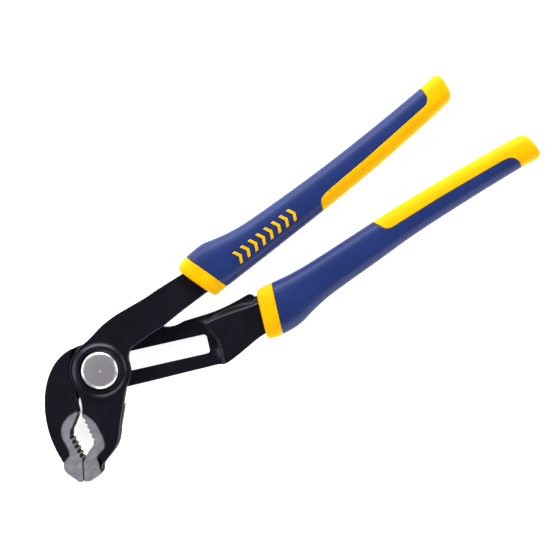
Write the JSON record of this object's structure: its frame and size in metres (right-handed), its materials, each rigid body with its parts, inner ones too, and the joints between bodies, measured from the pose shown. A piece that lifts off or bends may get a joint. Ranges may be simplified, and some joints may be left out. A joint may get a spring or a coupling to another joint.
{
  "type": "push-button water pump pliers",
  "caption": "Slotted-joint water pump pliers: black forged levers, bare serrated jaws, a sprung round button that locks the joint in its slot, and blue and yellow moulded grips.",
  "frame": {"origin": "on the pivot axis, at the flush back face of the lock bolt and the slotted lever, at the joint's smallest setting", "axes": "+X from the joint towards the handle ends, +Y towards the upper handle of the button lever, +Z out of the button face"},
  "size_m": [0.2536, 0.0662, 0.0182],
  "materials": {
    "forging": "black baked coat on forged steel, with bare milled steel at the jaws",
    "turned_steel": "turned and ground",
    "spring_wire": "drawn wire",
    "button_steel": "satin face with a polished chamfer",
    "blue_grip": "soft moulded elastomer, satin",
    "yellow_grip": "soft moulded elastomer, satin"
  },
  "bodies": {
    "lower_lever": {"slotted_lever": "forging", "lower_grip_collar": "yellow_grip", "lower_grip_sleeve": "blue_grip", "lower_grip_tail": "yellow_grip"},
    "guide": {"guide_bush": "turned_steel", "thrust_washer": "turned_steel", "button_spring": "spring_wire"},
    "upper_lever": {"button_lever": "forging", "upper_grip_collar": "yellow_grip", "upper_grip_sleeve": "blue_grip", "upper_grip_tail": "yellow_grip", "upper_grip_marks": "yellow_grip"},
    "lock": {"lock_bolt": "turned_steel", "push_button": "button_steel"}
  },
  "joints": [
    {"name": "jaw_adjust", "type": "slide", "parent": "lower_lever", "child": "guide", "axis": [0.9352, -0.3541, 0], "range_m": [0, 0.0222]},
    {"name": "jaw_hinge", "type": "hinge", "parent": "guide", "child": "upper_lever", "pos_m": [0, 0, 0.0096], "axis": [0, 0, 1], "range_deg": [0, 36]},
    {"name": "button_press", "type": "slide", "parent": "guide", "child": "lock", "axis": [0, 0, -1], "range_m": [0, 0.0029], "stiffness_N_per_m": 1500, "springref_m": -0.004, "deforming": ["button_spring"]}
  ]
}
